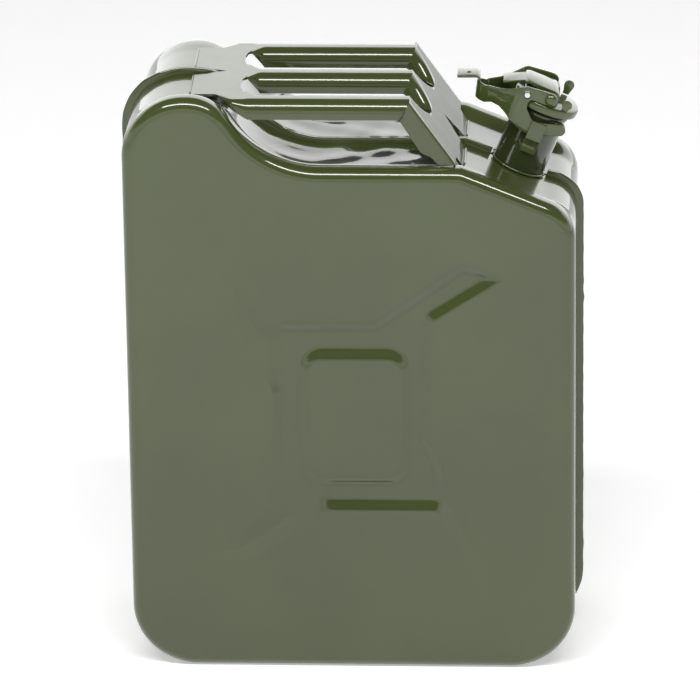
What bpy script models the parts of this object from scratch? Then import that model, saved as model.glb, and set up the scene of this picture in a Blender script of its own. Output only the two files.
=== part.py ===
"""Pressed-steel jerry can with a three-bar handle and a cam-lever filler closure.

Frame: +X towards the filler, +Y away from the viewer, +Z up, origin on the floor under the middle.
Dimensions are in millimetres; meshes are written in metres.
"""
import math
import bpy
import bmesh
import numpy as np
from mathutils import Vector
from mathutils.geometry import delaunay_2d_cdt

# ---- driving dimensions (mm) ---------------------------------------------------------------
HALF_W = 172.0          # shell half width at the side walls
HALF_D = 82.5           # half depth over the two pressed faces
HUMP_Z = 468.5          # top of the rear hump
SADDLE_Z = 412.5        # flat under the handle
SHEET = 1.0             # shell sheet thickness
EDGE_R = 9.0            # rounding between wall and face
RECESS = 7.0            # depth of the seam recess on top and bottom
RIDGE = 5.3             # welded flange height over the wall
RIDGE_T = 3.4           # flange thickness
EMBOSS = 4.2            # depth of the pressed cross
GAP = 0.3               # clearance between touching pieces

BAR_PITCH = 59.0
BAR_W = 24.0
BAR_H = 14.0
PLATE_T = 1.8
HANDLE_Z = HUMP_Z - RECESS + GAP + PLATE_T

NECK_TILT = math.radians(22.4)
NECK_BASE = Vector((127.0, 0.0, 389.4))
NECK_R = 20.5
SEAT_W = 54.2           # height of the mouth seat along the neck axis
LID_R = 26.0
LID_W0, LID_W1 = 53.0, 59.6
CHEEK_Y = 23.5          # middle plane of the lever's side plates
CHEEK_T = 2.0
PIVOT = (16.0, 45.0)    # lever pivot (u, w) in the neck frame
RIVET = (1.0, 65.2)     # cap rivet (u, w)
BOLT = (-17.5, 62.6)    # locking bolt (u, w)

U_DIR = Vector((math.cos(NECK_TILT), 0.0, -math.sin(NECK_TILT)))
W_DIR = Vector((math.sin(NECK_TILT), 0.0, math.cos(NECK_TILT)))


def clear_scene():
    for obj in list(bpy.data.objects):
        bpy.data.objects.remove(obj, do_unlink=True)


def material(name, rgb, rough, metal=0.0):
    mat = bpy.data.materials.new(name)
    mat.use_nodes = True
    bsdf = mat.node_tree.nodes["Principled BSDF"]
    bsdf.inputs["Base Color"].default_value = (*rgb, 1.0)
    bsdf.inputs["Roughness"].default_value = rough
    bsdf.inputs["Metallic"].default_value = metal
    return mat


PAINT = ((0.105, 0.128, 0.072), 0.28, 0.0)
PAINT_DARK = ((0.060, 0.078, 0.040), 0.3, 0.0)
ZINC = ((0.62, 0.64, 0.65), 0.3, 1.0)
RUBBER = ((0.02, 0.02, 0.02), 0.8, 0.0)
BARE = ((0.42, 0.43, 0.42), 0.45, 1.0)


def neck(u, y, w):
    """Point of the tilted neck frame in the can frame."""
    return NECK_BASE + U_DIR * u + Vector((0, 1, 0)) * y + W_DIR * w


def add(name, verts, faces, finish, smooth=False, origin=None):
    """One node from millimetre vertices; origin (mm) becomes the object's own origin."""
    base = Vector(origin) if origin is not None else Vector((0, 0, 0))
    mesh = bpy.data.meshes.new(name)
    mesh.from_pydata([tuple((Vector(v) - base) * 0.001) for v in verts], [], faces)
    bm = bmesh.new()
    bm.from_mesh(mesh)
    bmesh.ops.recalc_face_normals(bm, faces=bm.faces)
    bm.to_mesh(mesh)
    bm.free()
    mesh.materials.append(material(name, *finish))
    for poly in mesh.polygons:
        poly.use_smooth = smooth
    obj = bpy.data.objects.new(name, mesh)
    obj.location = base * 0.001
    bpy.context.scene.collection.objects.link(obj)
    return obj


def combine(obj, other, operation):
    """Exact boolean, applied, and the operand removed."""
    mod = obj.modifiers.new("bool", "BOOLEAN")
    mod.solver = "EXACT"
    mod.operation = operation
    mod.object = other
    bpy.context.view_layer.update()
    graph = bpy.context.evaluated_depsgraph_get()
    mesh = bpy.data.meshes.new_from_object(obj.evaluated_get(graph))
    obj.modifiers.clear()
    obj.data = mesh
    while len(mesh.materials) > 1:
        mesh.materials.pop()
    for poly in mesh.polygons:
        poly.material_index = 0
    bpy.data.objects.remove(other, do_unlink=True)
    return obj


def prism(points, vec):
    """Verts and faces of a polygon pushed along a vector."""
    n = len(points)
    verts = [Vector(p) for p in points] + [Vector(p) + Vector(vec) for p in points]
    faces = [list(range(n))[::-1], list(range(n, 2 * n))]
    faces += [[i, (i + 1) % n, n + (i + 1) % n, n + i] for i in range(n)]
    return verts, faces


def arc(cx, cy, r, a0, a1, n):
    return [(cx + r * math.cos(math.radians(a0 + (a1 - a0) * i / n)),
             cy + r * math.sin(math.radians(a0 + (a1 - a0) * i / n))) for i in range(n + 1)]


def cylinder(p0, p1, r, n=24):
    """Solid rod between two points."""
    axis = (p1 - p0).normalized()
    side = Vector((0, 1, 0)) if abs(axis.y) < 0.9 else W_DIR
    e1 = (side - axis * side.dot(axis)).normalized()
    e2 = axis.cross(e1)
    ring = [p0 + (e1 * math.cos(2 * math.pi * i / n) + e2 * math.sin(2 * math.pi * i / n)) * r
            for i in range(n)]
    return prism(ring, p1 - p0)


def revolve(profile, n, closed):
    """Turn (r, w) pairs round the neck axis; closed joins last to first, else ends lie on the axis."""
    verts, rows = [], []
    for r, w in profile:
        if r == 0.0:
            rows.append([len(verts)] * n)
            verts.append(neck(0, 0, w))
        else:
            rows.append(list(range(len(verts), len(verts) + n)))
            verts += [neck(r * math.cos(2 * math.pi * i / n), r * math.sin(2 * math.pi * i / n), w)
                      for i in range(n)]
    faces = []
    count = len(rows) if closed else len(rows) - 1
    for k in range(count):
        a, b = rows[k], rows[(k + 1) % len(rows)]
        for i in range(n):
            j = (i + 1) % n
            face = [a[i], a[j], b[j], b[i]]
            faces.append([v for q, v in enumerate(face) if v not in face[:q]])
    return verts, faces


# ---- can outline -----------------------------------------------------------------------------
SLOPE = math.tan(math.radians(22.3))
CORNERS = [  # x, z, radius, arc steps, steps along the straight that follows
    (-HALF_W, 0.0, 50.0, 7, 3),
    (HALF_W, 0.0, 50.0, 7, 3),
    (HALF_W, SADDLE_Z - (HALF_W - 85.0) * SLOPE, 31.0, 6, 2),
    (85.0, SADDLE_Z, 14.0, 2, 2),
    (-63.0, SADDLE_Z, 80.0, 6, 1),
    (-102.2, HUMP_Z, 38.0, 6, 1),
    (-HALF_W, HUMP_Z, 48.0, 7, 3),
]


def outline():
    """Rounded outline as (point, outward normal) pairs, anticlockwise in X, Z."""
    count = len(CORNERS)
    pts = [Vector(c[:2]) for c in CORNERS]
    out = []
    ends = []
    for i, (x, z, r, steps, _) in enumerate(CORNERS):
        p = pts[i]
        d0 = (p - pts[i - 1]).normalized()
        d1 = (pts[(i + 1) % count] - p).normalized()
        turn = d0.x * d1.y - d0.y * d1.x
        ang = d0.angle(d1)
        tan = r * math.tan(ang / 2)
        side = 1.0 if turn > 0 else -1.0
        start = p - d0 * tan
        centre = start + Vector((-d0.y, d0.x)) * r * side
        ring = []
        for k in range(steps + 1):
            a = side * ang * k / steps
            v = start - centre
            q = Vector((v.x * math.cos(a) - v.y * math.sin(a), v.x * math.sin(a) + v.y * math.cos(a)))
            ring.append((centre + q, q.normalized() * side))
        ends.append(ring)
    for i, ring in enumerate(ends):
        out += ring
        nxt = ends[(i + 1) % count][0]
        parts = CORNERS[i][4]
        for k in range(1, parts):
            t = k / parts
            out.append((ring[-1][0].lerp(nxt[0], t), ring[-1][1]))
    return out


OUTLINE = outline()
SECTION = [(2.0, 1.0, 0.0), (54.0, 1.0, 0.0), (59.5, 0.75, 0.0), (64.0, 0.2, 0.0), (67.5, 0.0, 0.0)]
SECTION += [(HALF_D - EDGE_R + EDGE_R * math.sin(a), 0.0, EDGE_R * (1 - math.cos(a)))
            for a in (0.0, math.pi / 8, math.pi / 4, 3 * math.pi / 8, math.pi / 2)]


def recess(normal):
    return RECESS * normal.y ** 2


def outset(point, normal, amount):
    return point + normal * amount


def rounded(points, r, steps=2):
    """Round the corners of a closed polygon; points are (x, z, round?)."""
    out = []
    n = len(points)
    for i, (x, z, soft) in enumerate(points):
        p = Vector((x, z))
        if not soft:
            out.append(p)
            continue
        a = (Vector(points[i - 1][:2]) - p).normalized()
        b = (Vector(points[(i + 1) % n][:2]) - p).normalized()
        half = a.angle(b) / 2
        t = r / math.tan(half)
        p0, p1 = p + a * t, p + b * t
        for k in range(steps + 1):
            s = k / steps
            out.append(p0 * (1 - s) ** 2 + p * (2 * s * (1 - s)) + p1 * s * s)
    return out


def inset_loop(loop, d):
    """Move a closed loop to its left by d."""
    out = []
    n = len(loop)
    for i, p in enumerate(loop):
        a = (p - loop[i - 1]).normalized()
        b = (loop[(i + 1) % n] - p).normalized()
        na, nb = Vector((-a.y, a.x)), Vector((-b.y, b.x))
        m = (na + nb)
        m = m / max(m.dot(na), 0.35)
        out.append(p + m * d)
    return out


CROSS_MID = 211.0
QUARTER = [(104.0, -145.0, 0), (63.0, -78.6, 1), (-17.0, -78.6, 1), (-86.0, -128.0, 0),
           (-120.2, -115.1, 0), (-65.1, -79.2, 1), (-60.6, 18.3, 1), (-111.0, 124.5, 0)]
CROSS = QUARTER + [(-x, -z, soft) for x, z, soft in QUARTER]


def face_loops():
    """Pressed cross: outer rim of the channel, its floor edge, and the centre block's two edges."""
    rim = rounded([(x, z + CROSS_MID, s) for x, z, s in CROSS], 8.0)[::-1]
    area = sum(rim[i - 1].x * p.y - p.x * rim[i - 1].y for i, p in enumerate(rim))
    if area < 0:
        rim = rim[::-1]
    floor = inset_loop(rim, 6.0)
    block = [(-32.0, 162.0, 1), (38.0, 162.0, 1), (38.0, 258.0, 1), (-32.0, 258.0, 1)]
    top = rounded(block, 7.0)
    foot = inset_loop(top, -8.0)
    return [(rim, 0.0), (floor, EMBOSS), (top, 0.0), (foot, EMBOSS)]


def build_shell(name, sign):
    n = len(OUTLINE)
    verts, faces = [], []
    for dist, share, inset in SECTION:
        for p, nrm in OUTLINE:
            q = outset(p, nrm, -(inset + share * recess(nrm)))
            verts.append(Vector((q.x, sign * dist, q.y)))
    for k in range(len(SECTION) - 1):
        for i in range(n):
            j = (i + 1) % n
            faces.append([k * n + i, k * n + j, (k + 1) * n + j, (k + 1) * n + i])
    border = (len(SECTION) - 1) * n
    flat = [Vector((verts[border + i].x, verts[border + i].z)) for i in range(n)]
    depth = [0.0] * n
    edges = [(i, (i + 1) % n) for i in range(n)]
    for loop, drop in face_loops():
        start = len(flat)
        flat += loop
        depth += [drop] * len(loop)
        edges += [(start + i, start + (i + 1) % len(loop)) for i in range(len(loop))]
    out_v, _, out_f, orig, _, _ = delaunay_2d_cdt(flat, edges, [], 1, 1e-5)
    index = []
    for v, src in zip(out_v, orig):
        k = src[0] if src else -1
        if 0 <= k < n:
            index.append(border + k)
        else:
            index.append(len(verts))
            verts.append(Vector((v.x, sign * (HALF_D - depth[k]), v.y)))
    faces += [[index[v] for v in f] for f in out_f]
    obj = add(name, verts, faces, PAINT, smooth=False)
    if sum(p.normal.y * p.area for p in obj.data.polygons) * sign < 0:
        obj.data.flip_normals()
    solid = obj.modifiers.new("sheet", "SOLIDIFY")
    solid.thickness = SHEET * 0.001
    solid.offset = -1.0
    solid.use_even_offset = True
    cut = add("cut", *cylinder(neck(0, 0, -14), neck(0, 0, 16), NECK_R + 0.5, 32), PAINT)
    return combine(obj, cut, "DIFFERENCE")


def build_seam():
    """Welded flange between the shells, standing over the wall all the way round."""
    half = RIDGE_T / 2
    section = [(-half, -1.0), (-half, RIDGE - 1.0), (-0.6, RIDGE), (0.6, RIDGE), (half, RIDGE - 1.0),
               (half, -1.0)]
    n, m = len(OUTLINE), len(section)
    verts, faces = [], []
    for p, nrm in OUTLINE:
        for y, up in section:
            q = outset(p, nrm, up - recess(nrm))
            verts.append(Vector((q.x, y, q.y)))
    for i in range(n):
        j = (i + 1) % n
        faces += [[i * m + k, j * m + k, j * m + (k + 1) % m, i * m + (k + 1) % m] for k in range(m)]
    obj = add("seam_flange", verts, faces, PAINT)
    cut = add("cut", *cylinder(neck(0, 0, -14), neck(0, 0, 16), NECK_R + 0.8, 32), PAINT)
    return combine(obj, cut, "DIFFERENCE")


# ---- handle ----------------------------------------------------------------------------------
def build_bar(name, y, x0, x1):
    """Inverted channel with rounded shoulders."""
    h, t, r = BAR_W / 2, 1.6, 4.0
    z1, z0 = HANDLE_Z, HANDLE_Z - BAR_H
    outer = [(-h, z0)] + arc(-h + r, z1 - r, r, 180, 90, 3) + arc(h - r, z1 - r, r, 90, 0, 3) + [(h, z0)]
    inner = [(h - t, z0)] + arc(h - r, z1 - r, r - t, 0, 90, 3) + arc(-h + r, z1 - r, r - t, 90, 180, 3)
    inner += [(-h + t, z0)]
    n = len(outer)
    ring = [(x0, y + a, z) for a, z in outer + inner]
    verts = [Vector(p) for p in ring] + [Vector((x1, p[1], p[2])) for p in ring]
    m = len(ring)
    faces = [[i, (i + 1) % m, m + (i + 1) % m, m + i] for i in range(m)]
    for off in (0, m):
        faces += [[off + i, off + i + 1, off + m - 2 - i, off + m - 1 - i] for i in range(n - 1)]
    return add(name, verts, faces, PAINT)


def build_rear_plate():
    """Flat plate welded on the hump, notched for the flange, with the bars butted to its front."""
    half, near = BAR_PITCH + BAR_W / 2, 46.0
    side = [(-120.0, 8.5), (-120.0, 53.0), (-101.0, 53.0), (-89.0, half - 3), (-87.8, half - 2),
            (-87.8, near), (-82.0, near - 4), (-82.0, 12.5)]
    pts = [(-96.0, 0.0)] + side + [(x, -y) for x, y in side[::-1]]
    z0 = HANDLE_Z - PLATE_T
    return add("handle_rear_plate", *prism([(x, y, z0) for x, y in pts], (0, 0, PLATE_T)), PAINT)


def build_leg():
    """Front plate sloping from the bars to the shoulder, slotted over the flange, with side flanges."""
    half = BAR_PITCH + BAR_W / 2
    top = Vector((46.5, HANDLE_Z))
    run = Vector((86.0, SADDLE_Z - RECESS + 1.5))
    d = (run - top).normalized()
    length = (run - top).length
    thick = Vector((-d.y, d.x)) * -PLATE_T

    def at(s, y):
        p = top + d * s
        return Vector((p.x, y, p.y))
    crown = (SADDLE_Z + 1.5 - top.y) / d.y
    side = [(length * 0.60, 0.0), (length, 11.0), (length, 52.5), (crown, 53.5), (crown, half)]
    side += [(0.0, half), (0.0, half - BAR_W + 3), (12.0, BAR_PITCH / 2 + 3), (12.0, BAR_PITCH / 2 - 3),
             (0.0, BAR_W / 2 - 3)]
    pts = side + [(s, -y) for s, y in side[1:][::-1]]
    obj = add("handle_leg", *prism([at(s, y) for s, y in pts], (thick.x, 0, thick.y)), PAINT)
    wing = [(46.6, HANDLE_Z - 1.6), (44.8, 460.5), (44.8, 447.5), (49.0, 437.5), (55.0, 423.5),
            (62.5, 420.2), (69.2, SADDLE_Z + 0.6), (81.2, SADDLE_Z + 0.6)]
    for sign in (-1, 1):
        y0 = sign * half
        flange = add("wing", *prism([(x, y0, z) for x, z in wing], (0, -sign * PLATE_T, 0)), PAINT)
        combine(obj, flange, "UNION")
    return obj


def bead(name, path, r=1.5, n=8):
    """Weld bead swept along a path."""
    verts, faces = [], []
    pts = [Vector(p) for p in path]
    for i, p in enumerate(pts):
        t = (pts[min(i + 1, len(pts) - 1)] - pts[max(i - 1, 0)]).normalized()
        side = Vector((0, 1, 0)) if abs(t.y) < 0.9 else Vector((1, 0, 0))
        e1 = (side - t * side.dot(t)).normalized()
        e2 = t.cross(e1)
        verts += [p + (e1 * math.cos(2 * math.pi * k / n) + e2 * math.sin(2 * math.pi * k / n)) * r
                  for k in range(n)]
    for i in range(len(pts) - 1):
        faces += [[i * n + k, i * n + (k + 1) % n, (i + 1) * n + (k + 1) % n, (i + 1) * n + k]
                  for k in range(n)]
    faces += [list(range(n)), list(range((len(pts) - 1) * n, len(pts) * n))[::-1]]
    return add(name, verts, faces, PAINT, smooth=True)


def tube(name, path, r, ri, n=12):
    """Open pipe swept along a path in the y = 0 plane."""
    pts = [Vector(p) for p in path]
    verts, faces = [], []
    for i, p in enumerate(pts):
        t = (pts[min(i + 1, len(pts) - 1)] - pts[max(i - 1, 0)]).normalized()
        e1, e2 = Vector((0, 1, 0)), t.cross(Vector((0, 1, 0)))
        for rad in (r, ri):
            verts += [p + (e1 * math.cos(2 * math.pi * k / n) + e2 * math.sin(2 * math.pi * k / n)) * rad
                      for k in range(n)]
    m = 2 * n
    for i in range(len(pts) - 1):
        for k in range(n):
            j = (k + 1) % n
            faces.append([i * m + k, i * m + j, (i + 1) * m + j, (i + 1) * m + k])
            faces.append([i * m + n + j, i * m + n + k, (i + 1) * m + n + k, (i + 1) * m + n + j])
    for off in (0, (len(pts) - 1) * m):
        faces += [[off + k, off + (k + 1) % n, off + n + (k + 1) % n, off + n + k] for k in range(n)]
    return add(name, verts, faces, BARE, smooth=True)


# ---- filler neck and closure -------------------------------------------------------------------
def build_neck():
    profile = [(NECK_R, -8), (NECK_R, 46.6), (21.3, 47.8), (21.3, 49.6), (20.2, 51.2), (17.6, 52.4),
               (16.8, SEAT_W - 0.5), (16.3, SEAT_W), (15.5, SEAT_W), (15.0, 53.2), (15.2, 51.6),
               (18.6, 49.2), (19.0, 46.6), (19.0, -8)]
    return add("filler_neck", *revolve(profile, 32, True), PAINT_DARK, smooth=True)


def build_strap(name, sign):
    """Joggled guard strap: foot welded on the neck, upper half standing off over the lever finger."""
    t = 2.0
    y0, y1 = NECK_R + GAP, CHEEK_Y + CHEEK_T / 2 + 0.4
    side = [(y0, 18.5), (y0, 29.4), (y1, 31.8), (y1, 45.2), (y1 + t, 45.2), (y1 + t, 30.6), (y0 + t, 28.2),
            (y0 + t, 18.5)]
    pts = [neck(-6.3, sign * y, w) for y, w in side]
    return add(name, *prism(pts, U_DIR * 12.0), PAINT)


def build_lug(name, sign):
    """Ear welded on the neck that carries the lever's pivot pin."""
    n = 24
    y0, y1 = 17.2, 19.6
    outer = [(13.0, 40.6), (16.0, 40.2)] + arc(PIVOT[0], PIVOT[1], 4.4, -60, 60, 4) + [(16.0, 49.4), (13.0, 49.2)]
    obj = add(name, *prism([neck(u, sign * y0, w) for u, w in outer], (0, sign * (y1 - y0), 0)), PAINT)
    hole = cylinder(neck(PIVOT[0], sign * 10, PIVOT[1]), neck(PIVOT[0], sign * 30, PIVOT[1]), 2.7, n)
    return combine(obj, add("cut", *hole, PAINT), "DIFFERENCE")


BEND_R = 6.6
BEND_U = -45.9
FLARE_U = -22.0
FLARE = math.hypot(FLARE_U - BEND_U, CHEEK_Y - BEND_R)
S_BEND = math.pi / 2 * BEND_R


def hairpin(s, w):
    """Developed lever strip (s along the strip from the bend, w up) to the neck frame."""
    a, sign = abs(s), (-1 if s < 0 else 1)
    if a < S_BEND:
        ang = a / BEND_R
        u, y = BEND_U - BEND_R * math.cos(ang), BEND_R * math.sin(ang)
    elif a < S_BEND + FLARE:
        t = (a - S_BEND) / FLARE
        u, y = BEND_U + (FLARE_U - BEND_U) * t, BEND_R + (CHEEK_Y - BEND_R) * t
    else:
        u, y = FLARE_U + a - S_BEND - FLARE, CHEEK_Y
    fade = min(max((-34.0 - u) / 12.0, 0.0), 1.0)
    return neck(u - 0.28 * (w - 46.0) * fade, -sign * y, w)


def strip_s(u):
    """Strip coordinate of a cheek point with neck coordinate u."""
    if u < BEND_U:
        return S_BEND - (BEND_U - u)
    if u < FLARE_U:
        return S_BEND + (u - BEND_U) / (FLARE_U - BEND_U) * FLARE
    return S_BEND + FLARE + u - FLARE_U


def build_lever():
    """Hairpin lever: bend at the rear, two cheeks forked round the lid, fingers at the pivots."""
    lower = [(-45.9, 38.6), (-39.6, 42.4), (-33.0, 43.2), (-27.0, 41.2), (-19.8, 37.0), (-12.0, 34.0),
             (-6.0, 33.2), (6.4, 36.4)]
    finger = arc(PIVOT[0], PIVOT[1], 4.6, -60, 105, 6)
    mouth = [(5.1, 46.0), (-4.6, 44.0), (-7.6, 45.6), (-13.8, 52.0), (-14.6, 56.5), (-13.6, 59.2),
             (-11.0, 60.0), (-2.0, 60.0)]
    nose = arc(RIVET[0], RIVET[1], 5.2, -90, 90, 6)
    upper = [(-3.0, 70.2), (-20.2, 68.4), (-28.0, 61.8), (-37.0, 55.6), (-44.0, 52.8), (-45.9, 51.6)]
    half = [Vector((strip_s(u), w)) for u, w in lower + finger + mouth + nose + upper]
    loop = half + [Vector((-p.x, p.y)) for p in half[::-1]]
    holes = []
    for (u, w), r in ((RIVET, 2.8), (BOLT, 2.8)):
        for side in (1, -1):
            c = strip_s(u) * side
            holes.append([Vector(p) for p in arc(c, w, r, 0, 360, 16)[:-1]])
    pts, edges = [], []
    for ring in [loop] + holes:
        base = len(pts)
        pts += ring
        edges += [(base + i, base + (i + 1) % len(ring)) for i in range(len(ring))]
    cuts = [S_BEND * k / 5 for k in range(-5, 6)] + [s for m in (1, -1) for s in
                                                   (m * (S_BEND + FLARE), m * (S_BEND + FLARE * 0.5))]
    for s in cuts:
        pts += [Vector((s, 20.0)), Vector((s, 90.0))]
        edges.append((len(pts) - 2, len(pts) - 1))
    out_v, _, out_f, _, _, _ = delaunay_2d_cdt(pts, edges, [], 0, 1e-4)

    def inside(q, ring):
        hit = False
        for i, b in enumerate(ring):
            a = ring[i - 1]
            if (a.y > q.y) != (b.y > q.y) and q.x < (b.x - a.x) * (q.y - a.y) / (b.y - a.y) + a.x:
                hit = not hit
        return hit
    faces = []
    for f in out_f:
        c = sum((out_v[i] for i in f), Vector((0, 0))) / len(f)
        if inside(c, loop) and not any(inside(c, h) for h in holes):
            faces.append(list(f))
    used = sorted({i for f in faces for i in f})
    remap = {old: k for k, old in enumerate(used)}
    verts = [hairpin(out_v[i].x, out_v[i].y) for i in used]
    pivot = neck(PIVOT[0], 0, PIVOT[1])
    obj = add("cam_lever", verts, [[remap[i] for i in f] for f in faces], PAINT, origin=pivot)
    solid = obj.modifiers.new("sheet", "SOLIDIFY")
    solid.thickness = CHEEK_T * 0.001
    solid.offset = 0.0
    solid.use_even_offset = True
    return obj


def build_tab():
    """Thumb tab standing on the lever's bend and turned to the rear, level when closed."""
    x0, x1, z1, t = 80.8, 98.4, 463.6, 1.6
    side = [(x0, z1 - t), (x0, z1), (x1 - 2.5, z1), (x1 - 0.6, z1 - 0.8), (x1, z1 - 2.6), (x1, 458.0),
            (x1 - t, 458.0), (x1 - t, z1 - t - 0.9), (x1 - t - 1.0, z1 - t)]
    obj = add("thumb_tab", *prism([(x, -9.0, z) for x, z in side], (0, 18.0, 0)), PAINT,
              origin=neck(PIVOT[0], 0, PIVOT[1]))
    for y in (-9.0, 9.0):
        cut = add("cut", *prism([(x1 - 5, y - 4, 450), (x1 + 5, y - 4, 450), (x1 + 5, y + 4, 450),
                                 (x1 - 5, y + 4, 450)], (0, 0, 11.5)), PAINT)
        combine(obj, cut, "DIFFERENCE")
    return obj


def build_lid():
    profile = [(0.0, LID_W1), (23.6, LID_W1), (25.2, LID_W1 - 0.5), (LID_R, LID_W1 - 2.0), (LID_R, LID_W0 + 0.4),
               (LID_R - 0.5, LID_W0), (LID_R - 1.2, LID_W0), (LID_R - 1.6, LID_W0 + 0.4), (LID_R - 1.6, 57.6),
               (LID_R - 2.4, 58.0), (0.0, 58.0)]
    return add("cap_lid", *revolve(profile, 40, False), PAINT, smooth=True, origin=neck(RIVET[0], 0, RIVET[1]))


def build_gasket():
    profile = [(13.2, 55.2), (13.8, SEAT_W + GAP), (18.8, SEAT_W + GAP), (19.4, 55.2), (19.4, 57.0),
               (18.8, 57.7), (13.8, 57.7), (13.2, 57.0)]
    return add("cap_gasket", *revolve(profile, 32, True), RUBBER, smooth=True,
               origin=neck(RIVET[0], 0, RIVET[1]))


def build_saddle():
    """Folded bracket on the lid: box over the rivet, tongue sloping rearwards, nose curled down."""
    t, half, top = 1.6, 13.0, 69.4
    foot = LID_W1 + GAP
    skin = [(-37.0, 60.8), (-19.0, top), (2.0, top), (5.0, top - 0.7), (7.2, top - 2.6), (8.0, top - 5.2),
            (8.0, foot)]
    under = [(8.0 - t, foot), (8.0 - t, top - 5.2), (5.8, top - 3.6), (4.2, top - 2.1), (2.0, top - t),
             (-18.7, top - t), (-36.4, 59.3)]
    origin = neck(RIVET[0], 0, RIVET[1])
    obj = add("cap_saddle", *prism([neck(u, -half, w) for u, w in skin + under], (0, 2 * half, 0)), PAINT,
              origin=origin)
    wall = [(-12.0, foot), (7.4, foot), (7.4, top - 5.2), (5.0, top - 2.0), (2.0, top - 0.8), (-12.0, top - 0.8)]
    for sign in (-1, 1):
        pts = [neck(u, sign * (half - 0.05), w) for u, w in wall]
        combine(obj, add("wall", *prism(pts, (0, -sign * t, 0)), PAINT), "UNION")
    for sign in (-1, 1):
        pts = [neck(u, sign * 9.0, w) for u, w in ((-50, 50), (-21.5, 50), (-21.5, 75), (-50, 75))]
        combine(obj, add("trim", *prism(pts, (0, sign * 12.0, 0)), PAINT), "DIFFERENCE")
    hole = cylinder(neck(RIVET[0], -30, RIVET[1]), neck(RIVET[0], 30, RIVET[1]), 2.7, 20)
    return combine(obj, add("cut", *hole, PAINT), "DIFFERENCE")


def build_rivet():
    """Cross pin with domed heads outside the cheeks."""
    y0 = CHEEK_Y + CHEEK_T / 2 + GAP
    shank, head = 2.4, 4.9
    prof = [(shank, 0.0), (shank, y0), (head, y0), (head, y0 + 0.8), (head * 0.8, y0 + 2.0),
            (head * 0.45, y0 + 2.7), (0.0, y0 + 2.9)]
    prof = [(0.0, -(y0 + 2.9))] + [(r, -y) for r, y in prof[1:-1][::-1]] + prof[1:]
    n = 24
    verts, rows = [], []
    for r, y in prof:
        if r == 0.0:
            rows.append([len(verts)] * n)
            verts.append(neck(RIVET[0], y, RIVET[1]))
        else:
            rows.append(list(range(len(verts), len(verts) + n)))
            verts += [neck(RIVET[0] + r * math.cos(2 * math.pi * i / n), y,
                           RIVET[1] + r * math.sin(2 * math.pi * i / n)) for i in range(n)]
    faces = []
    for a, b in zip(rows, rows[1:]):
        for i in range(n):
            face = [a[i], a[(i + 1) % n], b[(i + 1) % n], b[i]]
            faces.append([v for q, v in enumerate(face) if v not in face[:q]])
    return add("cap_rivet", verts, faces, PAINT, smooth=True, origin=neck(RIVET[0], 0, RIVET[1]))


def build_ear(name, sign, height):
    """Rounded stop ear standing on the lid in front of the saddle."""
    w0 = LID_W1 + GAP
    pts = [(11.6, w0), (16.4, w0), (16.8, w0 + 2.0)] + arc(14.2, w0 + height - 4.0, 4.0, -20, 200, 7)
    pts += [(11.6, w0 + 2.0)]
    return add(name, *prism([neck(u, sign * 18.4, w) for u, w in pts], (0, sign * 2.0, 0)), PAINT,
               origin=neck(RIVET[0], 0, RIVET[1]))


def build_bolt():
    """Locking bolt through both cheeks with a knob on the far side."""
    origin = neck(BOLT[0], 0, BOLT[1])
    rod = add("lock_bolt", *cylinder(neck(BOLT[0], -CHEEK_Y - 2.2, BOLT[1]),
                                     neck(BOLT[0], CHEEK_Y + 2.0, BOLT[1]), 2.2, 20), ZINC, origin=origin)
    knob = add("knob", *cylinder(neck(BOLT[0], CHEEK_Y + 1.6, BOLT[1]),
                                 neck(BOLT[0], CHEEK_Y + 5.6, BOLT[1]), 4.4, 20), ZINC)
    return combine(rod, knob, "UNION")


def main():
    clear_scene()
    build_shell("near_shell", -1)
    build_shell("far_shell", 1)
    build_seam()
    build_bar("handle_bar_near", -BAR_PITCH, -87.5, 44.5)
    build_bar("handle_bar_middle", 0.0, -81.7, 44.5)
    build_bar("handle_bar_far", BAR_PITCH, -87.5, 44.5)
    build_rear_plate()
    build_leg()
    floor = HUMP_Z - RECESS + 1.85
    for name, sign in (("near", -1), ("far", 1)):
        bead("rear_weld_" + name, [(-121.9, sign * y, floor) for y in (9.0, 20.0, 31.0, 42.0, 51.5)], 1.4)
        z = SADDLE_Z - RECESS - 3.0 * SLOPE + 1.6
        bead("leg_weld_" + name, [(90.4, sign * y, z) for y in (13.0, 26.0, 39.0, 50.0)], 1.4)
        ring = [neck(22.3 * math.cos(math.radians(a)), sign * 22.3 * math.sin(math.radians(a)), 1.6)
                for a in range(12, 169, 12)]
        bead("neck_weld_" + name, ring, 1.2)
    build_neck()
    start = neck(-10.5, 0, 44.0)
    low = neck(-10.5, 0, -4.0)
    tube("breather_tube", [start, low, (low.x - 8, 0, 383.5), (low.x - 24, 0, 380.0), (40, 0, 382.0),
                           (-40, 0, 388.0), (-72, 0, 398.0), (-104, 0, 428.0), (-118, 0, 446.0)], 4.0, 3.0)
    for name, sign in (("near", -1), ("far", 1)):
        build_strap("neck_strap_" + name, sign)
        build_lug("pivot_lug_" + name, sign)
    build_lever()
    build_tab()
    for name, sign in (("near", -1), ("far", 1)):
        rod = cylinder(neck(PIVOT[0], sign * 16.2, PIVOT[1]), neck(PIVOT[0], sign * 22.2, PIVOT[1]), 2.4, 20)
        add("pivot_pin_" + name, *rod, PAINT, origin=neck(PIVOT[0], 0, PIVOT[1]))
    build_lid()
    build_gasket()
    build_saddle()
    build_rivet()
    build_ear("stop_ear_near", -1, 8.5)
    build_ear("stop_ear_far", 1, 11.5)
    build_bolt()


main()
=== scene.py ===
"""Looks of the pressed-steel jerry can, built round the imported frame."""
import math
import random

import bmesh
import bpy
import numpy as np
from mathutils import Matrix, Vector

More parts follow.
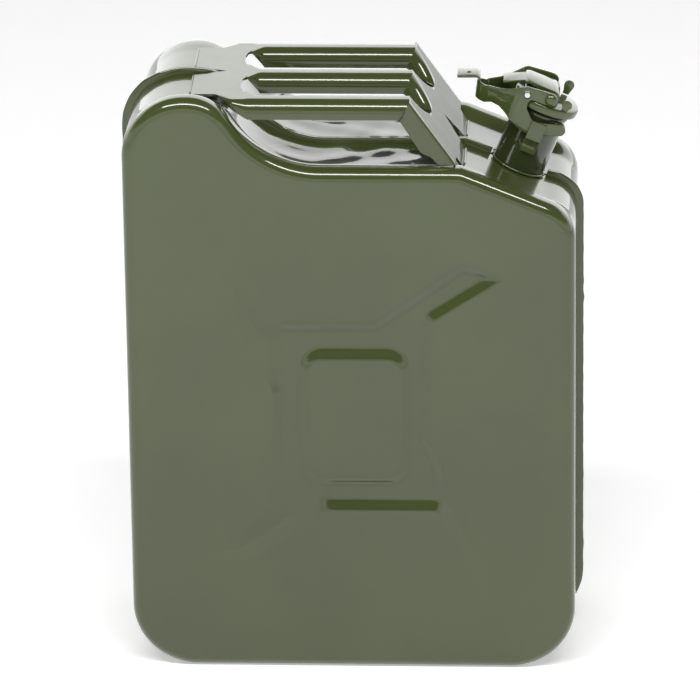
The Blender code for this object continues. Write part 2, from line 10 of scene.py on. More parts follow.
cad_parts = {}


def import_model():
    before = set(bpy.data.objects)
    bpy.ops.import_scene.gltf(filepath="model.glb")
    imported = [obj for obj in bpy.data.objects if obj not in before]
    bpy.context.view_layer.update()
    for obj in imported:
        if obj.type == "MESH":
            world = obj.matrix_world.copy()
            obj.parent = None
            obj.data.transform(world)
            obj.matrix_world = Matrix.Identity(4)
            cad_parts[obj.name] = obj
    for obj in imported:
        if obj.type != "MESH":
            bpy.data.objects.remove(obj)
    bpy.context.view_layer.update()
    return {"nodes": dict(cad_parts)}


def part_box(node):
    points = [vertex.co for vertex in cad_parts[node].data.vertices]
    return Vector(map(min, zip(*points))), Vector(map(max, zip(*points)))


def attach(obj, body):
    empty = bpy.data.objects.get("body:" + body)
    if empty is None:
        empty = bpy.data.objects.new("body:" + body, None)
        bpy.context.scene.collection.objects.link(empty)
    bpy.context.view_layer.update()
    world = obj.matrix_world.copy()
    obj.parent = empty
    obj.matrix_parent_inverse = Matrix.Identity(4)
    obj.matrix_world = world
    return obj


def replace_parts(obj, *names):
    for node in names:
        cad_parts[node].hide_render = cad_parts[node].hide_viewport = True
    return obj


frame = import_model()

MM = 0.001

# ---- driving dimensions, in millimetres ----------------------------------------------------------
HALF_W, HALF_D = 172.0, 82.5          # half the width and half the depth of the pressed halves
HUMP_Z, SADDLE_Z = 468.5, 412.5       # tops of the hump and of the saddle
SHEET = 1.0                           # thickness of the pressed sheet
EDGE_R = 9.0                          # rounding between wall and face
RECESS, RECESS_FLAT = 7.0, 50.0       # depth of the seam's recess, and half its flat width
RECESS_BLEND = 18.0                   # width over which the recess rises to the rim
FAR_HUMP_DROP = 6.5                   # the far half's rim is lower than the near one's on the hump
RIDGE, RIDGE_T = 5.3, 3.4             # height and thickness of the welded flange
EMBOSS, EMBOSS_RUN, EMBOSS_BLEND = 4.6, 9.5, 2.0  # pressed cross: depth, wall width, blend
FACE_RINGS = 103                      # mesh rings between the rim and the middle of a face
NECK_TILT = math.radians(22.4)
NECK_BASE = Vector((127.0, 0.0, 389.4))
NECK_R = 20.5
NECK_BEAD_R = 21.6                    # radius at which the weld runs round the neck
U_DIR = Vector((math.cos(NECK_TILT), 0.0, -math.sin(NECK_TILT)))
W_DIR = Vector((math.sin(NECK_TILT), 0.0, math.cos(NECK_TILT)))
SLOPE = math.tan(math.radians(22.3))
CORNERS = [  # x, z, radius
    (-HALF_W, 0.0, 50.0),
    (HALF_W, 0.0, 50.0),
    (HALF_W, SADDLE_Z - (HALF_W - 85.0) * SLOPE, 31.0),
    (85.0, SADDLE_Z, 14.0),
    (-63.0, SADDLE_Z, 80.0),
    (-102.2, HUMP_Z, 38.0),
    (-HALF_W, HUMP_Z, 48.0),
]
CROSS_MID = 211.0                     # height of the cross's centre; the points below are from it
HALF_CROSS = [(104.0, -145.0), (63.0, -78.6), (-17.0, -78.6), (-86.0, -128.0),
              (-120.2, -115.1), (-65.1, -79.2), (-60.6, 18.3), (-111.0, 124.5)]
BLOCK = (-32.0, 38.0, 162.0, 258.0)   # centre block: low and high X, low and high Z
BLOCK_R = 11.0
HANDLE_Z, PLATE_T = 463.6, 1.8
REAR_X, WINDOW_X, BEND_X = -120.0, -82.0, 46.5   # handle's rear edge, start of the windows, bend
NOTCH_X, NOTCH_HALF = -96.0, 8.5                 # tip and half width of the rear plate's notch
BAR_PITCH, BAR_HALF, BAR_DEEP, BAR_ROUND = 59.0, 12.0, 14.0, 9.5
WINDOW_HALF = 13.0                               # half width of a window at its square end
WINDOW_LEG = 27.0                                # how far a window runs down the leg
LEG_FOOT = (86.0, SADDLE_Z - RECESS + 1.5)
SLOT_Q, SLOT_LONG, SLOT_HALF = 41.4, 27.6, 11.0  # slot at the leg's foot: start, length, half width
CROWN_Q = 60.5                                   # distance down the leg at which the rim is met
FOOT_HALF = 53.0                                 # half width of the rear edge and of the leg's foot
JOIN = 0.00003                                   # merge distance, in metres
SHELL_STEP, SEAM_STEP, WELD_STEP = 2.9, 2.4, 0.8 # spacing of points along outline, seam and weld
HOLE_GAP = 0.3                                   # gap between the neck and its hole


def neck(u, y, w):
    """Point in the tilted frame of the filler neck."""
    return NECK_BASE + U_DIR * u + Vector((0, 1, 0)) * y + W_DIR * w


# ---- materials -----------------------------------------------------------------------------------
def new_material(name):
    """Empty node material: itself, its tree and its shader."""
    mat = bpy.data.materials.new(name)
    mat.use_nodes = True
    tree = mat.node_tree
    return mat, tree, tree.nodes["Principled BSDF"]


def noise(tree, scale, detail=3.0, rough=0.5):
    """Noise in object coordinates, which are metres in every piece here."""
    coord = tree.nodes.new("ShaderNodeTexCoord")
    node = tree.nodes.new("ShaderNodeTexNoise")
    node.inputs["Scale"].default_value = scale
    node.inputs["Detail"].default_value = detail
    node.inputs["Roughness"].default_value = rough
    tree.links.new(coord.outputs["Object"], node.inputs["Vector"])
    return node


def ramp(tree, source, stops):
    """Colour ramp of (position, colour) stops."""
    node = tree.nodes.new("ShaderNodeValToRGB")
    while len(node.color_ramp.elements) < len(stops):
        node.color_ramp.elements.new(0.5)
    for element, (pos, col) in zip(node.color_ramp.elements, stops):
        element.position = pos
        element.color = (*col, 1.0)
    tree.links.new(source, node.inputs["Fac"])
    return node


def spread(tree, source, low, high):
    """A 0 to 1 value mapped to low to high."""
    node = tree.nodes.new("ShaderNodeMapRange")
    node.inputs["To Min"].default_value = low
    node.inputs["To Max"].default_value = high
    tree.links.new(source, node.inputs["Value"])
    return node.outputs["Result"]


def bump(tree, bsdf, layers):
    """Stack of (noise socket, distance in metres, strength) bumps."""
    last = None
    for socket, distance, strength in layers:
        node = tree.nodes.new("ShaderNodeBump")
        node.inputs["Strength"].default_value = strength
        node.inputs["Distance"].default_value = distance
        tree.links.new(socket, node.inputs["Height"])
        if last is not None:
            tree.links.new(last, node.inputs["Normal"])
        last = node.outputs["Normal"]
    tree.links.new(last, bsdf.inputs["Normal"])
    tree.links.new(last, bsdf.inputs["Coat Normal"])


def enamel(name, base, wave):
    """Sprayed gloss enamel over pressed steel: slow dents, orange peel and a faint drift in tone."""
    mat, tree, bsdf = new_material(name)
    drift = noise(tree, 9.0, 4.0)
    dark = tuple(c * 0.90 for c in base)
    light = tuple(c * 1.08 for c in base)
    tone = ramp(tree, drift.outputs["Fac"], [(0.3, dark), (0.7, light)])
    tree.links.new(tone.outputs["Color"], bsdf.inputs["Base Color"])
    patch = noise(tree, 55.0, 5.0, 0.6)
    tree.links.new(spread(tree, patch.outputs["Fac"], 0.24, 0.42), bsdf.inputs["Roughness"])
    bsdf.inputs["Specular IOR Level"].default_value = 0.12
    bsdf.inputs["Coat Weight"].default_value = 1.0
    bsdf.inputs["Coat Roughness"].default_value = 0.05
    bsdf.inputs["Coat IOR"].default_value = 1.6
    bump(tree, bsdf, [(noise(tree, 16.0, 1.0).outputs["Fac"], wave, 0.5),
                      (noise(tree, 420.0, 2.0).outputs["Fac"], 0.00003, 0.6)])
    return mat


def zinc_plate(name):
    """Bright zinc with a fine grain."""
    mat, tree, bsdf = new_material(name)
    grain = noise(tree, 900.0, 4.0, 0.7)
    tone = ramp(tree, grain.outputs["Fac"], [(0.35, (0.55, 0.57, 0.58)), (0.65, (0.78, 0.80, 0.80))])
    tree.links.new(tone.outputs["Color"], bsdf.inputs["Base Color"])
    bsdf.inputs["Metallic"].default_value = 1.0
    tree.links.new(spread(tree, grain.outputs["Fac"], 0.18, 0.4), bsdf.inputs["Roughness"])
    bump(tree, bsdf, [(grain.outputs["Fac"], 0.00006, 0.5)])
    return mat


def rubber(name):
    """Dull black rubber with a speckled skin."""
    mat, tree, bsdf = new_material(name)
    speck = noise(tree, 700.0, 4.0, 0.7)
    tone = ramp(tree, speck.outputs["Fac"],
                [(0.3, (0.014, 0.014, 0.014)), (0.7, (0.035, 0.034, 0.032))])
    tree.links.new(tone.outputs["Color"], bsdf.inputs["Base Color"])
    tree.links.new(spread(tree, speck.outputs["Fac"], 0.6, 0.85), bsdf.inputs["Roughness"])
    bump(tree, bsdf, [(speck.outputs["Fac"], 0.0001, 0.4)])
    return mat


def raw_steel(name):
    """Unpainted steel with brown-grey stains."""
    mat, tree, bsdf = new_material(name)
    stain = noise(tree, 60.0, 6.0, 0.65)
    tone = ramp(tree, stain.outputs["Fac"], [(0.3, (0.25, 0.24, 0.22)), (0.7, (0.46, 0.46, 0.45))])
    tree.links.new(tone.outputs["Color"], bsdf.inputs["Base Color"])
    bsdf.inputs["Metallic"].default_value = 1.0
    tree.links.new(spread(tree, stain.outputs["Fac"], 0.3, 0.55), bsdf.inputs["Roughness"])
    bump(tree, bsdf, [(noise(tree, 500.0).outputs["Fac"], 0.00005, 0.5)])
    return mat


PAINT = enamel("olive_enamel", (0.047, 0.063, 0.0165), wave=0.0009)
PAINT_SMALL = enamel("olive_enamel_fittings", (0.052, 0.073, 0.018), wave=0.0002)
# The neck's copy of the olive enamel has a darker base colour: painted shade for the neck sitting under
# the cap and lever.
PAINT_NECK_SHADED = enamel("olive_enamel_neck_painted_shade", (0.030, 0.040, 0.013), wave=0.0002)
ZINC = zinc_plate("zinc_plate")
RUBBER_AND_PUNCH_SHADE = rubber("gasket_rubber_and_punch_shade")
# Black rubber for the gasket; the same material also gives the painted shade in the thumb tab's punch
# mark.
STEEL = raw_steel("raw_steel")


# ---- mesh helpers --------------------------------------------------------------------------------
def link(name, data):
    """New object in the scene."""
    obj = bpy.data.objects.new(name, data)
    bpy.context.scene.collection.objects.link(obj)
    return obj


def closed(name, verts, faces):
    """New object from millimetre vertices, its faces pointing out."""
    mesh = bpy.data.meshes.new(name)
    mesh.from_pydata([tuple(np.asarray(v) * MM) for v in verts], [], faces)
    bm = bmesh.new()
    bm.from_mesh(mesh)
    bmesh.ops.recalc_face_normals(bm, faces=bm.faces)
    bm.to_mesh(mesh)
    bm.free()
    return link(name, mesh)


def piece(name, verts, faces, mat, body):
    """Smooth-shaded piece riding on a body."""
    obj = closed(name, verts, faces)
    obj.data.materials.append(mat)
    obj.data.shade_smooth()
    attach(obj, body)
    return obj


def circle(e1, e2, r, n):
    """Points on a circle of n points in the plane of two unit vectors."""
    turns = [2 * math.pi * i / n for i in range(n)]
    return [(e1 * math.cos(a) + e2 * math.sin(a)) * r for a in turns]


def skin(first, rows, n):
    """Quads between neighbouring closed rows of n points, starting at vertex number first."""
    return [(first + i * n + k, first + i * n + (k + 1) % n,
             first + (i + 1) * n + (k + 1) % n, first + (i + 1) * n + k)
            for i in range(rows - 1) for k in range(n)]


def capped(rows, n):
    """Faces of a closed tube made of rows of n points."""
    return skin(0, rows, n) + [tuple(range(n)), tuple(range((rows - 1) * n, rows * n))[::-1]]


def bake(obj):
    """Apply all modifiers."""
    bpy.context.view_layer.update()
    graph = bpy.context.evaluated_depsgraph_get()
    mesh = bpy.data.meshes.new_from_object(obj.evaluated_get(graph))
    obj.modifiers.clear()
    obj.data = mesh


def thicken(obj, thickness, sharp):
    """Give a skin its sheet thickness, inwards, and shade it smooth up to the sharp angle in degrees."""
    solid = obj.modifiers.new("sheet", "SOLIDIFY")
    solid.thickness = thickness * MM
    solid.offset = -1.0
    bake(obj)
    obj.data.shade_smooth()
    obj.data.set_sharp_from_angle(angle=math.radians(sharp))


# ---- can outline ---------------------------------------------------------------------------------
def outline(step):
    """Dense rounded outline: arrays of points and outward normals in X, Z."""
    pts = [Vector(c[:2]) for c in CORNERS]
    rings = []
    for i, (_, _, r) in enumerate(CORNERS):
        p = pts[i]
        d0 = (p - pts[i - 1]).normalized()
        d1 = (pts[(i + 1) % len(pts)] - p).normalized()
        side = 1.0 if d0.x * d1.y - d0.y * d1.x > 0 else -1.0
        ang = d0.angle(d1)
        start = p - d0 * r * math.tan(ang / 2)
        centre = start + Vector((-d0.y, d0.x)) * r * side
        steps = max(3, round(r * ang / step))
        ring = []
        for k in range(steps + 1):
            a = side * ang * k / steps
            v = start - centre
            q = Vector((v.x * math.cos(a) - v.y * math.sin(a),
                        v.x * math.sin(a) + v.y * math.cos(a)))
            ring.append((centre + q, q.normalized() * side))
        rings.append(ring)
    out = []
    for i, ring in enumerate(rings):
        nxt = rings[(i + 1) % len(rings)][0][0]
        out += ring
        parts = max(1, round((nxt - ring[-1][0]).length / step))
        out += [(ring[-1][0].lerp(nxt, k / parts), ring[-1][1]) for k in range(1, parts)]
    return np.array([list(p) for p, _ in out]), np.array([list(n) for _, n in out])


def smoothstep(x):
    """Smooth rise from 0 to 1."""
    x = np.clip(x, 0.0, 1.0)
    return x * x * (3 - 2 * x)


def signed_distance(pts, loop):
    """Distance to a closed polygon, positive inside."""
    best = np.full(len(pts), 1e9)
    inside = np.zeros(len(pts), bool)
    for i, b in enumerate(loop):
        a = loop[i - 1]
        ab = b - a
        t = np.clip(((pts - a) @ ab) / (ab @ ab), 0, 1)
        best = np.minimum(best, np.linalg.norm(pts - a - t[:, None] * ab, axis=1))
        cross = (a[1] > pts[:, 1]) != (b[1] > pts[:, 1])
        with np.errstate(divide="ignore", invalid="ignore"):
            x = (b[0] - a[0]) * (pts[:, 1] - a[1]) / (b[1] - a[1]) + a[0]
        inside ^= cross & (pts[:, 0] < x)
    return np.where(inside, best, -best)


def wall_profile(d, run):
    """Straight pressed wall with a short blend at its top and foot, from 0 to 1 over the run."""
    t = np.clip(d, 0.0, run)
    blend = EMBOSS_BLEND * run / EMBOSS_RUN
    low = t ** 2 / (2 * blend)
    mid = t - blend / 2
    high = run - blend - (run - t) ** 2 / (2 * blend)
    area = np.where(t < blend, low, np.where(t < run - blend, mid, high))
    return area / (run - blend)


def block_distance(pts):
    """Distance outside the round-cornered centre block."""
    x0, x1, z0, z1 = BLOCK
    mid = np.array([x0 + x1, z0 + z1]) / 2
    half = np.array([x1 - x0, z1 - z0]) / 2
    over = np.abs(pts - mid) - (half - BLOCK_R)
    return np.linalg.norm(np.maximum(over, 0.0), axis=1) + np.minimum(over.max(axis=1), 0.0) - BLOCK_R


def cross_depth(pts):
    """Depth of the pressed cross at face points; three of its four arms are drawn softer."""
    loop = np.array(HALF_CROSS + [(-x, -z) for x, z in HALF_CROSS]) + (0, CROSS_MID)
    channel = signed_distance(pts, loop)
    reach = np.linalg.norm(pts - (0, CROSS_MID), axis=1)
    x, up = pts[:, 0], pts[:, 1] - CROSS_MID
    crisp = (x > 0) & (up > 0)
    past = np.where(x > 0, np.where(up > 0, -9.0, x - 62.0), np.where(up > 0, -50.0 - x, -14.0 - x))
    soft = smoothstep(past / 12.0) * smoothstep((np.abs(up) - 10.0) / 50.0)
    depth = wall_profile(channel, EMBOSS_RUN * (1 + 0.8 * soft)) * EMBOSS * (1 - 0.45 * soft)
    depth = depth * wall_profile(block_distance(pts), np.full(len(pts), EMBOSS_RUN))
    return depth * smoothstep((180.0 - reach) / np.where(crisp, 18.0, 60.0))


def ripple(pts, nrm, dist):
    """Slight puckering that drawing leaves in the saddle between the rims."""
    x, z = pts[:, 0], pts[:, 1]
    here = smoothstep((nrm[:, 1] - 0.5) / 0.3) * smoothstep((75.0 - np.abs(x)) / 30.0)
    here = here * smoothstep((SADDLE_Z + 45.0 - z) / 15.0) * smoothstep((56.0 - dist) / 14.0)
    wave = np.sin(0.10 * x + 0.07 * dist + np.sin(0.045 * x)) * np.sin(0.12 * dist - 0.04 * x + 1.0)
    return 0.55 * here * (wave + 0.3 * np.sin(0.19 * x - 0.11 * dist + np.sin(0.08 * x)))


def wall_section():
    """Wall from the seam to the face: distance from the seam, share of the recess, inset."""
    rows = [(dist, 1.0, 0.0) for dist in np.linspace(2.0, RECESS_FLAT, 13)]
    rows += [(RECESS_FLAT + RECESS_BLEND * t, 1.0 - smoothstep(t), 0.0) for t in np.linspace(0.1, 1.0, 9)]
    rows += [(HALF_D - EDGE_R + EDGE_R * math.sin(a), 0.0, EDGE_R * (1 - math.cos(a)))
             for a in np.linspace(0.0, math.pi / 2, 9)]
    return rows


def shell_rows(sign):
    """Rows of points of one pressed half: up the wall, then rings shrinking to the face's middle."""
    pts, nrm = outline(SHELL_STEP)
    share_n = nrm[:, 1:2] ** 2
    hump = smoothstep((pts[:, 1] - 395.0) / 45.0) * (pts[:, 0] < -60.0)
    rows = []
    for dist, share, inset in wall_section():
        flat = pts - nrm * (inset + share * RECESS * share_n + share * ripple(pts, nrm, dist)[:, None])
        if sign > 0:
            flat = flat - nrm * (1 - share * share_n) * FAR_HUMP_DROP * hump[:, None]
        rows.append(np.column_stack([flat[:, 0], np.full(len(pts), sign * dist), flat[:, 1]]))
    rim = rows[-1][:, [0, 2]]
    mid = np.array([0.0, CROSS_MID])
    for t in 1.0 - np.linspace(0.0, 1.0, FACE_RINGS + 2)[1:-1]:
        flat = mid + (rim - mid) * t
        rows.append(np.column_stack([flat[:, 0], sign * (HALF_D - cross_depth(flat)), flat[:, 1]]))
    return rows


def shell(name, sign):
    """Fine pressed half with the neck's hole cut through it."""
    rows = shell_rows(sign)
    n = len(rows[0])
    verts = np.vstack(rows + [[[0.0, sign * HALF_D, CROSS_MID]]])
    last = (len(rows) - 1) * n
    faces = skin(0, len(rows), n) + [(last + i, last + (i + 1) % n, last + n) for i in range(n)]
    obj = piece(name, verts, faces, PAINT, "can")
    if sum(p.normal.y * p.area for p in obj.data.polygons) * sign < 0:
        obj.data.flip_normals()
    thicken(obj, SHEET, 50)
    ends = neck(0, 0, -14), neck(0, 0, 16)
    ring = circle(Vector((0, 1, 0)), W_DIR.cross(Vector((0, 1, 0))), NECK_R + HOLE_GAP, 64)
    cutter = closed("cutter", [end + v for end in ends for v in ring], capped(2, 64))
    hole = obj.modifiers.new("hole", "BOOLEAN")
    hole.object = cutter
    hole.solver = "EXACT"
    bake(obj)
    bpy.data.objects.remove(cutter, do_unlink=True)
    obj.data.shade_smooth()
    obj.data.set_sharp_from_angle(angle=math.radians(50))
    return obj


def seam():
    """Welded flange with a rounded, slightly lumpy crest, broken where the neck passes."""
    pts, nrm = outline(SEAM_STEP)
    n = len(pts)
    from_neck = pts - [NECK_BASE.x, NECK_BASE.z]
    across, up_neck = from_neck @ [U_DIR.x, U_DIR.z], from_neck @ [W_DIR.x, W_DIR.z]
    hidden = (np.abs(across) < NECK_R + 1.0) & (np.abs(up_neck) < 30.0)
    first = int(np.where(hidden & ~np.roll(hidden, -1))[0][0]) + 1
    order = [(first + k) % n for k in range(n) if not hidden[(first + k) % n]]
    half = RIDGE_T / 2
    section = [(-half, -1.0), (-half, RIDGE - 1.5), (-half * 0.8, RIDGE - 0.6), (-half * 0.4, RIDGE),
               (half * 0.4, RIDGE), (half * 0.8, RIDGE - 0.6), (half, RIDGE - 1.5), (half, -1.0)]
    rng = random.Random(7)
    lumps = [(rng.uniform(0, n), rng.uniform(0.25, 0.8), rng.uniform(1.0, 2.2)) for _ in range(26)]
    verts = []
    for i in order:
        lift = 0.12 * math.sin(i * 0.9) * math.sin(i * 0.23)
        lift += sum(h * math.exp(-((i - c) / w) ** 2) for c, h, w in lumps)
        for y, up in section:
            add = lift if up > 0 else 0.0
            q = pts[i] + nrm[i] * (min(up + add, RIDGE + 0.7) - RECESS * nrm[i][1] ** 2)
            verts.append((q[0], y * (1 + 0.12 * add), q[1]))
    obj = piece("seam_flange_fine", verts, capped(len(order), len(section)), PAINT, "can")
    obj.data.set_sharp_from_angle(angle=math.radians(40))
    return obj


def weld(name, path, r, seed):
    """Rippled weld bead along a path, with a row of points every WELD_STEP or so."""
    rng = random.Random(seed)
    pts = [Vector(p) for p in path]
    fine = []
    for a, b in zip(pts, pts[1:]):
        steps = max(2, round((b - a).length / WELD_STEP))
        fine += [a.lerp(b, k / steps) for k in range(steps)]
    fine.append(pts[-1])
    last = len(fine) - 1
    verts = []
    for i, p in enumerate(fine):
        t = (fine[min(i + 1, last)] - fine[max(i - 1, 0)]).normalized()
        side = Vector((0, 1, 0)) if abs(t.y) < 0.9 else Vector((1, 0, 0))
        e1 = (side - t * side.dot(t)).normalized()
        end = min(1.0, 0.35 + min(i, last - i) / 4)
        rad = r * end * (0.86 + 0.16 * abs(math.sin(i * 0.8)) + rng.uniform(-0.05, 0.05))
        verts += [p + v for v in circle(e1, t.cross(e1), rad, 10)]
    return piece(name, verts, capped(len(fine), 10), PAINT_SMALL, "can")


def table(x, rows):
    """Straight-line lookup in (x, value) rows."""
    return float(np.interp(x, [r[0] for r in rows], [r[1] for r in rows]))


def window_side(lobe, q):
    """Edge, rounding radius and depth on the side of a bar that faces a window."""
    x = BEND_X + q
    curl = table(x, [(WINDOW_X + 2, 0.0), (WINDOW_X + 12, 1.0)])
    gap = table(x, [(WINDOW_X, WINDOW_HALF), (WINDOW_X + 10, BAR_PITCH / 2 - BAR_HALF)])
    r = BAR_ROUND
    if x < WINDOW_X:
        gap, curl = 0.0, 0.0
    if q > 0:
        left = math.sqrt(max(0.0, 1 - (q / WINDOW_LEG) ** 2))
        gap, curl = gap * left, left ** 1.5
        r *= 0.6 + 0.4 * curl
    edge = BAR_PITCH / 2 + (-gap if lobe == 0 else gap)
    return edge, r * curl, BAR_DEEP * curl


def outer_side(q):
    """Edge, rounding radius and depth on the outer side of the near and far bars."""
    x = BEND_X + q
    if q <= 0:
        curl = table(x, [(-100.0, 0.0), (-76.0, 1.0)])
        edge = table(x, [(-101.0, FOOT_HALF), (-89.0, 68.0), (-80.0, BAR_PITCH + BAR_HALF)])
        return edge, BAR_ROUND * curl, BAR_DEEP * curl
    edge = BAR_PITCH + BAR_HALF if q <= CROWN_Q else FOOT_HALF
    deep = table(q, [(0.0, BAR_DEEP), (37.8, 16.0), (44.8, 11.7), (54.4, 10.3), (CROWN_Q, 0.4)])
    return edge, min(2.5, deep * 0.5), deep


def bar_start(lobe, q):
    """Where a bar's two sides meet: its middle, or the edge of the notch or the slot."""
    x = BEND_X + q
    if lobe == 0:
        notch = NOTCH_HALF * (NOTCH_X - x) / 24.0 if q < 0 else 0.0
        slot = SLOT_HALF * (q - SLOT_Q) / SLOT_LONG if q > 0 else 0.0
        return max(0.0, notch, slot)
    if q > CROWN_Q:
        return FOOT_HALF - 3.0
    return table(x, [(-101.0, 46.0), (-89.0, 58.0), (-80.0, BAR_PITCH)])


def handle_rows(length):
    """Distances past the bend of the handle's rows, closer together where its shape changes."""
    window = WINDOW_X - BEND_X
    top = [REAR_X - BEND_X + 2.0 * k for k in range(19)] + [window, window + 0.02]
    top += [window + 1.0 * k for k in range(1, 14)]
    top += [window + 13.0 + 3.5 * k for k in range(1, 29)] + [-8.0, -5.0, -2.5, -0.01]
    leg = [0.01] + [1.5 * k for k in range(1, 18)] + [WINDOW_LEG - 0.3, WINDOW_LEG + 0.01]
    leg += [WINDOW_LEG + 2.5 * k for k in range(1, 13)]
    leg += [CROWN_Q - 0.01, CROWN_Q + 0.01, CROWN_Q + 3.5, length]
    return sorted(top) + sorted(leg)


def handle():
    """Pressed handle in one skin: rear plate, three round-backed bars, leg with side flanges."""
    run, fall = LEG_FOOT[0] - BEND_X, HANDLE_Z - LEG_FOOT[1]
    bend = math.atan2(fall, run)
    mitre = math.tan(bend / 2)
    rows = handle_rows(math.hypot(run, fall))

    def place(q, y, drop):
        """Point at distance q past the bend and drop below the skin, mitred at the bend."""
        if q < 0:
            return min(BEND_X + q, BEND_X - drop * mitre), y, HANDLE_Z - drop
        t = max(q, drop * mitre)
        return (BEND_X + math.cos(bend) * t - math.sin(bend) * drop, y,
                HANDLE_Z - math.sin(bend) * t - math.cos(bend) * drop)

    quarter = np.linspace(0.0, math.pi / 2, 11)
    verts, faces = [], []
    for lobe, side in [(lobe, side) for lobe in (-1, 0, 1) for side in (-1, 1)]:
        base = len(verts)
        sign = side if lobe == 0 else lobe
        for q in rows:
            start = bar_start(lobe, q)
            edge, r, deep = window_side(lobe, q) if lobe == 0 or side != lobe else outer_side(q)
            way = 1.0 if edge > start else -1.0
            low = min(deep, r)
            path = [(start + (edge - way * r - start) * k / 3, 0.0) for k in range(3)]
            path += [(edge - way * r * (1 - math.sin(a)), low * (1 - math.cos(a))) for a in quarter]
            path += [(edge, low + (deep - low) * k / 2) for k in (1, 2)]
            verts += [place(q, sign * y, drop) for y, drop in path]
        m = len(path)
        faces += [(base + i * m + k, base + (i + 1) * m + k,
                   base + (i + 1) * m + k + 1, base + i * m + k + 1)
                  for i in range(len(rows) - 1) for k in range(m - 1)]
    obj = piece("handle_pressing", verts, faces, PAINT, "can")
    join_skin(obj)
    thicken(obj, PLATE_T, 42)
    return obj


def join_skin(obj):
    """Merge a skin's coincident points and turn its faces upwards."""
    bm = bmesh.new()
    bm.from_mesh(obj.data)
    bmesh.ops.remove_doubles(bm, verts=bm.verts, dist=JOIN)
    bmesh.ops.dissolve_degenerate(bm, edges=bm.edges, dist=JOIN / 3)
    bmesh.ops.recalc_face_normals(bm, faces=bm.faces)
    if sum(f.normal.z * f.calc_area() for f in bm.faces) < 0:
        bmesh.ops.reverse_faces(bm, faces=bm.faces)
    bm.to_mesh(obj.data)
    bm.free()


def tab_mark():
    """Shallow punched dimple in the thumb tab's top, with a black disc in its middle as painted shade."""
    lo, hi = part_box("thumb_tab")
    top = Vector(((lo[0] + hi[0]) / 2, (lo[1] + hi[1]) / 2, hi[2])) / MM
    e1, e2 = Vector((1, 0, 0)), Vector((0, 1, 0))
    rim = [top + Vector((0, 0, up)) + v for r, up in ((2.3, -0.1), (1.9, 0.25), (1.5, 0.25), (1.2, -0.1))
           for v in circle(e1, e2, r, 24)]
    piece("tab_punch_rim", rim, skin(0, 4, 24), PAINT_SMALL, "lever")
    # Black disc of the rubber material in the dimple's middle: painted shade inside the punched mark.
    floor = [top + Vector((0, 0, 0.05)) + v for v in circle(e1, e2, 1.3, 24)]
    piece("tab_punch_painted_shade", floor, [tuple(range(24))], RUBBER_AND_PUNCH_SHADE, "lever")


def soften(node, mat, width):
    """CAD node kept as it is, with joined vertices, edges broken by width mm, and its own material."""
    obj = frame["nodes"][node]
    obj.data.materials.clear()
    obj.data.materials.append(mat)
    join = obj.modifiers.new("join", "WELD")
    join.merge_threshold = 0.00001
    edge = obj.modifiers.new("edge", "BEVEL")
    edge.width = width * MM
    edge.segments = 3
    edge.limit_method = "ANGLE"
    edge.angle_limit = math.radians(32)
    edge.use_clamp_overlap = True
    obj.data.shade_smooth()


# ---- build ---------------------------------------------------------------------------------------
def welds(side, sign):
    """The three weld lines on one side of the seam."""
    plate_z = HUMP_Z - RECESS + 1.85
    foot_z = SADDLE_Z - RECESS - 3.0 * SLOPE + 2.2
    rear = [(REAR_X - 0.9, sign * y, plate_z) for y in (9.0, 51.5)]
    foot = [(LEG_FOOT[0] + 1.3, sign * y, foot_z) for y in (13.0, 50.0)]
    turns = [math.radians(a) for a in range(10, 171, 5)]
    ring = [neck(NECK_BEAD_R * math.cos(a), sign * NECK_BEAD_R * math.sin(a), 1.0) for a in turns]
    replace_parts(weld("rear_bead_" + side, rear, 0.75, 3), "rear_weld_" + side)
    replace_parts(weld("leg_bead_" + side, foot, 0.9, 5), "leg_weld_" + side)
    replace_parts(weld("neck_bead_" + side, ring, 0.9, 9), "neck_weld_" + side)


for side, sign in (("near", -1), ("far", 1)):
    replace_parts(shell(side + "_shell_fine", sign), side + "_shell")
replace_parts(seam(), "seam_flange")
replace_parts(handle(), "handle_bar_near", "handle_bar_middle", "handle_bar_far", "handle_rear_plate",
            "handle_leg")
for side, sign in (("near", -1), ("far", 1)):
    welds(side, sign)
for node in ("neck_strap_near", "neck_strap_far", "pivot_lug_near", "pivot_lug_far", "pivot_pin_near",
             "pivot_pin_far", "cam_lever", "thumb_tab", "cap_lid", "cap_saddle", "cap_rivet",
             "stop_ear_near", "stop_ear_far"):
    soften(node, PAINT_SMALL, 0.35)
tab_mark()
# The filler neck takes the darker enamel copy, its colour painted shade.
soften("filler_neck", PAINT_NECK_SHADED, 0.3)
soften("cap_gasket", RUBBER_AND_PUNCH_SHADE, 0.4)
soften("lock_bolt", ZINC, 0.4)
soften("breather_tube", STEEL, 0.2)


# ---- studio --------------------------------------------------------------------------------------
def stage_floor():
    """Pale floor that glows a little, like a light table."""
    mesh = bpy.data.meshes.new("floor")
    corners = [(-6, -6, 0), (6, -6, 0), (6, 6, 0), (-6, 6, 0)]
    mesh.from_pydata(corners, [], [(0, 1, 2, 3)])
    mat, tree, bsdf = new_material("floor_paper")
    grain = noise(tree, 40.0, 3.0)
    tone = ramp(tree, grain.outputs["Fac"], [(0.3, (0.90,) * 3), (0.7, (0.93,) * 3)])
    tree.links.new(tone.outputs["Color"], bsdf.inputs["Base Color"])
    bsdf.inputs["Roughness"].default_value = 0.9
    bsdf.inputs["Emission Color"].default_value = (1.0, 1.0, 1.0, 1.0)
    bsdf.inputs["Emission Strength"].default_value = 0.36
    mesh.materials.append(mat)
    link("floor", mesh)


def math_node(tree, operation, source, *numbers):
    """Math node on a source socket, its other inputs set to numbers."""
    node = tree.nodes.new("ShaderNodeMath")
    node.operation = operation
    for socket, number in zip(node.inputs[1:], numbers):
        socket.default_value = number
    tree.links.new(source, node.inputs[0])
    return node.outputs["Value"]


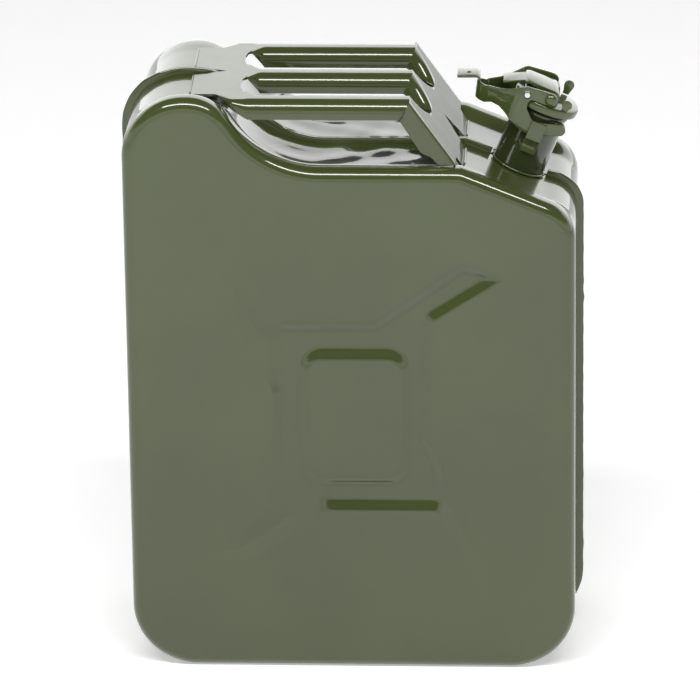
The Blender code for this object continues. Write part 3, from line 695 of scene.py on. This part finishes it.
def grade(tree, source, stops):
    """Straight-line curve through (height, brightness) stops; it gives half the brightness."""
    node = tree.nodes.new("ShaderNodeFloatCurve")
    curve = node.mapping.curves[0]
    while len(curve.points) < len(stops):
        curve.points.new(0.5, 0.5)
    for point, (height, bright) in zip(curve.points, stops):
        point.location = (height, bright / 2)
        point.handle_type = "VECTOR"
    node.mapping.update()
    tree.links.new(source, node.inputs["Value"])
    return node.outputs["Value"]


FRONT_SKY = [(0.0, 1.15), (0.56, 1.15), (0.65, 0.10), (1.0, 0.05)]
BACK_SKY = [(0.0, 2.0), (0.735, 2.0), (0.775, 0.12), (1.0, 0.05)]


def world():
    """White studio: bright low down, dim overhead, and bright to a greater height behind the can."""
    sky = bpy.data.worlds.new("studio")
    bpy.context.scene.world = sky
    sky.use_nodes = True
    tree = sky.node_tree
    coord = tree.nodes.new("ShaderNodeTexCoord")
    split = tree.nodes.new("ShaderNodeSeparateXYZ")
    tree.links.new(coord.outputs["Generated"], split.inputs["Vector"])
    height = math_node(tree, "MULTIPLY_ADD", split.outputs["Z"], 0.5, 0.5)
    front = grade(tree, height, FRONT_SKY)
    behind = grade(tree, height, BACK_SKY)
    facing = tree.nodes.new("ShaderNodeMapRange")
    facing.interpolation_type = "SMOOTHSTEP"
    facing.inputs["From Max"].default_value = 0.5
    tree.links.new(split.outputs["Y"], facing.inputs["Value"])
    both = tree.nodes.new("ShaderNodeMix")
    tree.links.new(facing.outputs["Result"], both.inputs["Factor"])
    tree.links.new(front, both.inputs["A"])
    tree.links.new(behind, both.inputs["B"])
    back = tree.nodes["Background"]
    tree.links.new(math_node(tree, "MULTIPLY", both.outputs["Result"], 2.0), back.inputs["Strength"])
    back.inputs["Color"].default_value = (1.0, 1.0, 1.0, 1.0)


def area(name, loc, target, size, power):
    """Rectangular lamp at loc, turned to the target; metres and watts."""
    lamp = bpy.data.lights.new(name, "AREA")
    lamp.shape = "RECTANGLE"
    lamp.size, lamp.size_y = size
    lamp.energy = power
    obj = link(name, lamp)
    obj.location = loc
    obj.rotation_euler = (Vector(target) - Vector(loc)).to_track_quat("-Z", "Y").to_euler()


AZIMUTH, ELEVATION, ROLL = 3.0, 22.0, -0.75      # degrees
DISTANCE, FOCAL_LENGTH = 5.0, 330.5              # metres, millimetres
TARGET = Vector((-0.0043, 0.0, 0.2337))


def camera():
    """Long lens at the photograph's angle, with its slight roll."""
    az, el, roll = math.radians(AZIMUTH), math.radians(ELEVATION), math.radians(ROLL)
    back = Vector((math.sin(az) * math.cos(el), -math.cos(az) * math.cos(el), math.sin(el)))
    right = Vector((math.cos(az), math.sin(az), 0.0))
    up = back.cross(right)
    x_axis = right * math.cos(roll) + up * math.sin(roll)
    y_axis = back.cross(x_axis)
    lens = bpy.data.cameras.new("camera")
    lens.lens = FOCAL_LENGTH
    lens.clip_end = 50.0
    obj = link("camera", lens)
    turn = Matrix((x_axis, y_axis, back)).transposed().to_4x4()
    obj.matrix_world = Matrix.Translation(TARGET + back * DISTANCE) @ turn
    bpy.context.scene.camera = obj


stage_floor()
world()
area("top_strip", (0.0, -1.34, 2.6), (0.0, 0.0, 0.35), (3.0, 0.45), 75.0)
camera()
bpy.context.scene.view_settings.view_transform = "Standard"
